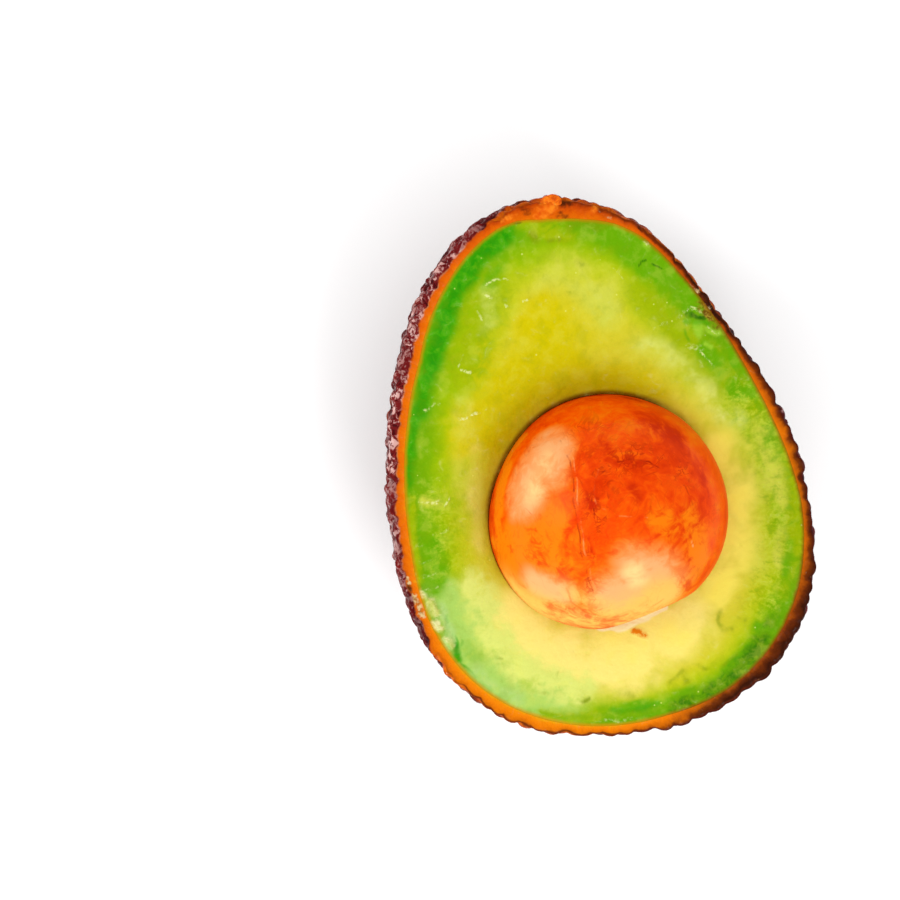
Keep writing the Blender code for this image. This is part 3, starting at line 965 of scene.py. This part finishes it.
def fibre(p, place, thin, short):
    """Short fibres that run out from the seed."""
    away = p.shade("VectorMath", 0, {0: place, 1: SEED_CENTRE}, operation="SUBTRACT")
    axes = p.node("ShaderNodeSeparateXYZ", {0: away}).outputs
    x, y = Shade(p, axes[0]), Shade(p, axes[1])
    distance = p.math("MAXIMUM", p.math("SQRT", x * x + y * y), 0.002)
    thin = thin / distance
    spread = p.shade("CombineXYZ", 0, {0: x * thin, 1: y * thin, 2: distance * short})
    return p.noise(spread, 1.0, 3.0, 0.6, 0.4)


flecks = make_group("flecks", "Mask", fleck, Scale=1000.0, Share=0.2)
fibres = make_group("fibres", "Value", fibre, Thin=80.0, Short=350.0)


def make_flesh_material():
    material, p, shader, place = start_material("moist_flesh", 0.02, 0.12)
    broad = p.noise(place, 150.0, 3.0, 0.55, 0.4)
    middle = p.noise(place, 520.0, 3.0, 0.6, 0.6)
    fine = p.noise(place, 1900.0, 3.0, 0.65)

    ripe = (p.layer("ripe") + (broad - 0.5) * 0.55 + (middle - 0.5) * 0.22) / 2.0
    colour = p.ramp(ripe, {
        0.00: (112, 160, 4), 0.07: (104, 166, 3), 0.18: (124, 176, 3), 0.30: (152, 188, 4),
        0.42: (176, 196, 12), 0.55: (198, 204, 30), 0.72: (212, 206, 44), 1.00: (216, 206, 44),
    })
    deep = p.mix(p.step(middle, 0.36, 0.62), (28, 148, 3), (66, 166, 4))
    moss = p.mix(p.step(middle, 0.36, 0.60), (56, 122, 3), (96, 146, 2))
    colour = p.cover(
        colour,
        (p.ragged("haze", broad, 0.7, 0.0, 0.9), (208, 212, 72)),
        (p.ragged("gold", broad, 0.5, 0.0, 0.9), (212, 198, 1)),
        (p.ragged("butter", broad, 0.4, 0.0, 0.9), (254, 237, 128)),
        (p.ragged("mint", broad, 0.5, 0.0, 0.9), (172, 212, 96)),
        (p.ragged("olive", broad, 0.3, 0.0, 1.2), (206, 188, 4)),
        (p.ragged("lime", middle, 0.4, 0.0, 0.9), (158, 182, 2)),
        (p.ragged("leaf", broad, 0.7, 0.0, 1.0), (106, 172, 2)),
        (p.ragged("lobe", middle, 0.3, 0.0, 0.8), (152, 202, 44)),
        (p.ragged("deep", middle, 0.3, 0.0, 0.9), deep),
        (p.ragged("moss", p.noise(place, 330.0, 3.0, 0.6), 0.6, 0.0, 1.1), moss),
        (p.ragged("pearl", p.noise(place, 300.0, 3.0, 0.6), 0.6, 0.0, 1.0), (224, 234, 118)),
        (p.ragged("mist", middle, 0.4, 0.0, 1.0), (178, 214, 122)),
        (p.ragged("spot", middle, 0.5, 0.0, 1.1), (128, 150, 2)),
        (p.layer("shade") * p.step(p.layer("from_seed"), 0.10, 1.1, 0.9, 0.0), (112, 44, 2)),
        # Dark green painted shade in the cracks
        (p.ragged("crack", middle, 0.6, 0.1, 1.0), (40, 110, 4)),
    )

    # Soft uneven tone of ripe flesh, pale and darker cells all over, dense on the hazy side, and tiny pale
    # painted glints
    tone = p.noise(place, 330.0, 4.0, 0.6, 0.2)
    dawn = p.step(tone, 0.50, 0.66, 0.0, 0.14) * p.step(p.layer("deep"), 0.0, 0.7, 1.0, 0.1)
    dusk = p.step(tone, 0.34, 0.50, 0.16, 0.0) * p.step(p.layer("butter"), 0.0, 0.8, 1.0, 0.2)
    cells = fine * 0.3 + middle * 0.45 + p.group(fibres, place, Thin=50.0, Short=420.0) * 0.25
    frost = p.layer("frost")
    # Tiny pale dots: painted glints of moist flesh, glossy in the coat too
    grains = p.group(flecks, place, Scale=900.0, Share=0.09)
    colour = p.cover(
        colour,
        (dawn, (234, 236, 90)),
        (dusk, (120, 150, 1)),
        (p.step(cells, 0.48, 0.60) * p.step(frost, 0.0, 0.8, 0.05, 0.5), (206, 222, 62)),
        (p.step(cells, 0.40, 0.50, 1.0, 0.0) * p.step(frost, 0.0, 0.8, 0.04, 0.35), (104, 162, 2)),
        (grains * 0.5, (240, 246, 110)),
    )

    # Pale crests, raised and with painted highlights on them, crumbs and marks that lie on the face, a
    # painted pool of light beside the seed, and a thin yellow-orange line where the flesh is grown to the
    # peel
    cream = p.ragged("cream", fine, 1.1, 0.1, 1.0) * 0.75
    crumb = p.mix(p.step(middle, 0.40, 0.62), (202, 208, 104), (238, 236, 166))
    crumb = p.mix(p.step(fine, 0.48, 0.60, 0.0, 0.5), crumb, (172, 184, 74))
    stain = p.mix(p.step(fine, 0.42, 0.62), (112, 78, 10), (166, 140, 40))
    joint = p.step(p.layer("from_peel") + (middle - 0.5) * 0.5, -0.1, 0.75, 0.95, 0.0)
    colour = p.cover(
        colour,
        (cream, (232, 240, 150)),
        (p.step(p.layer("crumb") + (middle - 0.5) * 1.2, 0.1, 0.85), crumb),
        # Painted pool of light beside the seed
        (p.ragged("painted_light", broad, 0.5, 0.0, 1.0), (255, 240, 96)),
        (p.step(p.layer("glaze"), 0.1, 0.55), (255, 244, 176)),
        (p.ragged("stain", middle, 0.8, 0.0, 1.2), stain),
        (p.ragged("rust", fine, 0.4, 0.1, 0.9), (230, 130, 14)),
        (joint, p.mix(p.layer("brown"), (206, 146, 8), (136, 76, 4))),
    )
    wet = p.group(blotches, place, Scale=260.0, Low=0.5, High=0.62) * 0.06
    wet = p.math("MAXIMUM", p.math("MAXIMUM", cream, grains), wet)
    shine = p.step(middle, 0.3, 0.7, 0.36, 0.5)
    feed_shader(p, shader, place, colour, shine, wet, 0.00016, 0.7, Waves=600.0, Grains=2200.0, Share=0.5)
    return material


build_flesh(make_flesh_material())

# Seed
# The one large seed, nearly round, in its thin orange seed coat with darker veins and a crease.
# It lies in the flesh's hollow with its upper half bare, and nothing but the hollow holds it.

SEED_STEPS = 160
SEED_RINGS = 20
SEED_WANDER = 0.0003

# Paler and darker places of the seed coat, its veins and its crease. The pale patches are partly paler coat
# and partly painted highlights, the glow is a painted highlight, and the dark stroke along the edge at the
# hollow is painted shade
SEED_STROKES = {
    "amber": [
        (18, 1, 0, (499, 545), (509, 568), (522, 586)), (20, 0.6, 0, (676, 600), (692, 582), (704, 562)),
        (40, 1, 0, (506, 555), (525, 540), (548, 530)), (34, 1, 0, (538, 566), (556, 564)),
        (16, 1, 0, (506, 460), (512, 448), (522, 436)),
        (30, 0.7, 0, (560, 585), (600, 610), (645, 605), (680, 590)),
        (30, 0.9, 0, (692, 520), (696, 560), (684, 592)), (24, 0.8, 0, (662, 522), (672, 530)),
        (18, 0.8, 0, (506, 470), (500, 500), (503, 535)),
    ],
    "dark": [
        (30, 0.5, 0, (648, 426), (676, 434)), (22, 0.3, 0, (692, 455), (704, 478)),
        (18, 0.5, 0, (603, 440), (618, 458), (640, 462)), (14, 1, 0, (588, 500), (594, 508)),
        (12, 0.7, 0, (582, 535), (590, 560)), (10, 0.6, 0, (633, 488), (637, 500)),
        # Painted shade along the seed's edge, where it overhangs the hollow
        (9, 0.9, 0, (494, 505), (497, 470), (513, 438), (545, 410), (590, 396), (640, 400)),
    ],
    # Pale patches: partly paler coat, partly painted highlights
    "pale": [
        (44, 1, 0, (546, 450), (530, 476), (525, 494)), (32, 0.9, 0, (556, 448), (552, 472)),
        (34, 0.9, 0, (540, 582), (560, 590)), (50, 1, 0, (618, 596), (636, 586), (655, 576)),
        (34, 0.6, 0, (630, 560), (665, 564), (676, 578)), (24, 0.6, 0, (514, 490), (516, 510)),
    ],
    # Painted highlights
    "glow": [
        (22, 0.8, 0, (634, 572), (638, 580)), (28, 0.7, 0, (544, 464), (534, 490)),
    ],
    "straw": [
        (26, 0.6, 0, (574, 594), (594, 602), (612, 606)),
        (58, 1, 0, (530, 596), (552, 609), (580, 618), (610, 621), (640, 612), (660, 600)),
    ],
    "fret": [
        (40, 1, 0, (596, 520), (600, 470), (640, 455), (680, 470)),
        (30, 0.7, 0, (540, 545), (590, 560), (600, 600)), (24, 0.6, 0, (560, 430), (610, 425)),
    ],
    "vein": [
        (1.8, 0.7, -0.03, (594, 520), (592, 500), (597, 478), (611, 464), (630, 458), (650, 461),
         (662, 468)),
        (1.8, 0.5, -0.02, (664, 455), (674, 476), (686, 487), (693, 505)),
        (1.6, 0.4, 0, (598, 500), (604, 486), (618, 473)),
        (1.6, 0.4, 0, (640, 520), (650, 512), (652, 506)),
        (1.6, 0.4, 0, (520, 505), (528, 510), (540, 522)),
        (2, 0.6, -0.03, (560, 440), (569, 460), (573, 478), (573, 500), (577, 520), (580, 545)),
        (1.8, 0.45, -0.02, (580, 545), (586, 570), (594, 592), (603, 612)),
    ],
    "line": [
        (1.8, 0.5, 0.02, (564, 440), (573, 460), (577, 480), (577, 500), (581, 522), (584, 548)),
        (1.8, 0.4, 0.02, (584, 548), (591, 575), (600, 600)),
        (1.6, 0.35, 0, (596, 505), (594, 490), (598, 470)),
        (1.6, 0.35, 0, (602, 510), (620, 516), (648, 518)), (2.4, 0.9, 0.03, (692, 541), (694, 546)),
        (2.4, 0.7, 0, (497, 482), (493, 500)), (2.2, 0.5, 0, (505, 460), (512, 450)),
    ],
    "flake": [
        (3.4, 0.4, 0, (568, 588), (572, 600), (588, 612)), (4, 0.3, 0, (652, 608), (664, 600)),
    ],
}


def on_seed(across, down):
    """Place on the seed's upper side that shows at a picture point."""
    ray = ray_at(across, down)
    back = CAMERA_PLACE - SEED_CENTRE
    along = back.dot(ray)
    under = max(along ** 2 - back.length_squared + SEED_RADIUS ** 2, 0.0)
    return CAMERA_PLACE - ray * (along + math.sqrt(under))


def build_seed(material):
    directions, quads, rim = half_ball(SEED_STEPS)
    rings = bowl_rings(directions[rim], SEED_RINGS)
    units = np.concatenate([directions * (1, 1, -1)] + rings + [DOWN[None]])
    faces = [quads] + join_rings(rim, len(directions), len(rings))
    centre = np.array(SEED_CENTRE)
    radii = seed_radii(units)
    layers, rise = paint_strokes(centre + units * SEED_RADIUS, SEED_STROKES, on_seed, SEED_WANDER)
    points = centre + units * np.minimum(radii + rise, np.maximum(radii, SEED_RADIUS))[:, None]
    store(make_piece("seed_whole", points, faces, material, "seed"), **layers)


def vein(p, place, scale, breadth):
    """Thin branching lines where a noise crosses its middle value."""
    away = p.math("ABSOLUTE", p.noise(place, scale, 3.0, 0.6, 1.2) - 0.5)
    return p.step(away, 0.0, breadth, 1.0, 0.0)


veins = make_group("veins", "Mask", vein, Scale=200.0, Breadth=0.03)


def make_seed_material():
    material, p, shader, place = start_material("seed_coat", 0.02, 0.22)
    broad = p.noise(place, 100.0, 4.0, 0.6, 0.8)
    fine = p.noise(place, 420.0, 4.0, 0.65, 0.8)
    mottle = broad + (fine - 0.5) * 0.7

    # Broken red threads, most of them in the middle, and the pale lines beside the crease
    fret = p.layer("fret")
    short_threads = p.group(veins, place, Scale=330.0, Breadth=0.06) * fret
    threads = p.math("MAXIMUM", p.group(veins, place, Scale=150.0), short_threads)
    threads = threads * p.step(fine, 0.40, 0.58) * p.step(fret, 0.0, 1.0, 0.2, 0.7)
    colour = p.cover(
        p.ramp(mottle, {0.26: (222, 52, 0), 0.42: (242, 68, 0), 0.56: (254, 88, 0), 0.74: (255, 116, 2)}),
        (p.ragged("amber", mottle, 0.8, 0.0, 0.8), (255, 128, 6)),
        # Darker places of the coat, and painted shade along the edge at the hollow
        (p.ragged("dark", mottle, -0.9, 0.0, 1.2), (206, 42, 0)),
        # Pale patches, partly painted highlights, and the glow, a painted highlight
        (p.ragged("pale", mottle, 0.5, 0.0, 0.45), (255, 122, 14)),
        (p.ragged("pale", mottle, 0.3, 0.1, 1.0), (254, 178, 114)),
        (p.ragged("glow", mottle, 0.4, 0.1, 1.2), (255, 216, 140)),
        (p.ragged("straw", mottle, 0.5, 0.0, 1.4), (254, 198, 92)),
        (threads * p.step(p.layer("pale"), 0.3, 1.0, 1.0, 0.3), (184, 32, 0)),
        (p.ragged("vein", fine, 0.9, 0.1, 1.1), (176, 34, 0)),
        (p.ragged("line", fine, 0.9, 0.1, 1.1), (255, 160, 90)),
        (p.ragged("flake", fine, 0.3, 0.1, 0.6), (214, 92, 4)),
    )
    shine = p.step(fine, 0.3, 0.7, 0.30, 0.44)
    wet = p.step(broad, 0.3, 0.7, 0.0, 0.06)
    feed_shader(p, shader, place, colour, shine, wet, 0.00012, 0.5, Waves=340.0, Grains=1400.0, Share=0.3)
    return material


build_seed(make_seed_material())

# Stem remnant
# What is left of the woody stem, cut in half with the fruit: a rough orange-brown plug that is
# grown into the rim at the narrow end.

STEM_SEGMENTS = 96
STEM_RINGS = 64
STEM_LUMPS = 0.14
STEM_SQUARENESS = 2.6
STEM_TAPER = 0.16
STEM_TOP_ROUND = 0.0006
STEM_TOP_GRAIN = 0.00012


def build_stem(material):
    low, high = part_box("stem_button")
    half = np.array(high - low) / 2
    bm = bmesh.new()
    bmesh.ops.create_uvsphere(bm, u_segments=STEM_SEGMENTS, v_segments=STEM_RINGS, radius=1.0)
    unit = np.array([vertex.co for vertex in bm.verts])
    faces = [np.array([[vertex.index for vertex in face.verts]]) for face in bm.faces]
    bm.free()
    lumps = 0.6 * clouds(unit, 1.9, 8.0) + 0.4 * clouds(unit, 4.5, 2.0)
    powers = (np.abs(unit) ** STEM_SQUARENESS).sum(axis=1)
    unit = unit / np.maximum(powers, 0.01)[:, None] ** (1 / STEM_SQUARENESS)
    points = unit * (1 - STEM_LUMPS * (0.6 + 0.5 * lumps))[:, None] * half
    points[:, 0] *= 1 - STEM_TAPER * unit[:, 1]
    upper = unit[:, 2] > 0
    rounded = STEM_TOP_ROUND * np.clip(unit[:, 2], 0, 1) ** 0.4
    points[:, 2] = np.where(upper, rounded, 2 * points[:, 2]) - STEM_TOP_ROUND
    points[:, 2] -= STEM_TOP_GRAIN * (1 + clouds(points, 1800.0, 5.0)) * upper
    points[:, 2] = np.clip(points[:, 2], -2 * half[2], 0)
    points += np.array((low + high) / 2 - CUT_FACE) * LEVEL
    make_piece("stem_remnant", points, faces, material, "stem_button")


def make_stem_material():
    material, p, shader, place = start_material("woody_stem", 0.08)
    lumps = p.noise(place, 900.0, 4.0, 0.65, 0.5)
    stops = {0.32: (196, 70, 2), 0.45: (240, 100, 3), 0.58: (254, 126, 8), 0.72: (255, 156, 44)}
    bark = p.group(veins, place, Scale=700.0, Breadth=0.05)
    colour = p.mix(bark * 0.3, p.ramp(lumps, stops), (130, 40, 4))
    shine = p.step(lumps, 0.3, 0.7, 0.7, 0.45)
    feed_shader(p, shader, place, colour, shine, 0.0, 0.0003, 0.8, Waves=1500.0, Grains=4000.0)
    return material


build_stem(make_stem_material())

# Floor, light and camera
# A plain pale floor, large soft boxes low on three sides as in a packshot, and a long lens that
# looks down on the cut face, a little from the stem end.

FLOOR_SIZE = 8.0
FLOOR_GREY = 0.98
SKY_STRENGTH = 1.08
# Grey of the sky by its height over the floor
SKY_GREYS = {0.0: 1.0, 0.3: 1.0, 0.6: 0.95, 1.0: 0.88}
BOX_DISTANCE = 1.3


def add_floor():
    bpy.ops.mesh.primitive_plane_add(size=FLOOR_SIZE)
    floor = bpy.context.object
    floor.name = "floor"
    material, p, shader, place = start_material("pale_floor", 0.0)
    p.feed(shader, {"Base Color": (FLOOR_GREY, FLOOR_GREY, FLOOR_GREY, 1), "Roughness": 0.9})
    floor.data.materials.append(material)


def add_soft_box(name, azimuth, elevation, width, height, power):
    """Area light that faces the fruit. Azimuth 0 is +X and 90 the stem end, in degrees."""
    data = bpy.data.lights.new(name, "AREA")
    data.shape = "RECTANGLE"
    data.size = width
    data.size_y = height
    data.energy = power
    box = bpy.data.objects.new(name, data)
    bpy.context.collection.objects.link(box)
    turn, rise = math.radians(azimuth), math.radians(elevation)
    way = Vector((math.cos(turn) * math.cos(rise), math.sin(turn) * math.cos(rise), math.sin(rise)))
    box.location = CUT_FACE + way * BOX_DISTANCE
    box.rotation_euler = way.to_track_quat("Z", "Y").to_euler()


def add_world():
    world = bpy.data.worlds.new("studio")
    world.use_nodes = True
    p = Painter(world.node_tree)
    axes = p.node("ShaderNodeSeparateXYZ", {0: p.shade("TexCoord", "Generated")}).outputs
    glow = p.ramp(Shade(p, axes[2]), {place: [grey, grey, grey, 1] for place, grey in SKY_GREYS.items()})
    p.feed(world.node_tree.nodes["Background"], {"Color": glow, "Strength": SKY_STRENGTH})
    bpy.context.scene.world = world


def add_camera():
    data = bpy.data.cameras.new("camera")
    data.lens = LENS
    data.sensor_width = SENSOR
    data.clip_start = 0.01
    camera = bpy.data.objects.new("camera", data)
    bpy.context.collection.objects.link(camera)
    turned = Matrix((CAMERA_RIGHT, CAMERA_TOP, -CAMERA_AHEAD)).transposed().to_4x4()
    camera.matrix_world = Matrix.Translation(CUT_FACE + CAMERA_PLACE) @ turned
    bpy.context.scene.camera = camera


add_floor()
add_world()
add_soft_box("left_box", 150, 32, 0.60, 0.60, 5.4)
add_soft_box("front_box", -76, 48, 0.60, 0.60, 5.2)
add_soft_box("low_box", -145, 12, 0.45, 0.30, 3.0)
add_camera()
bpy.context.scene.view_settings.view_transform = "Standard"
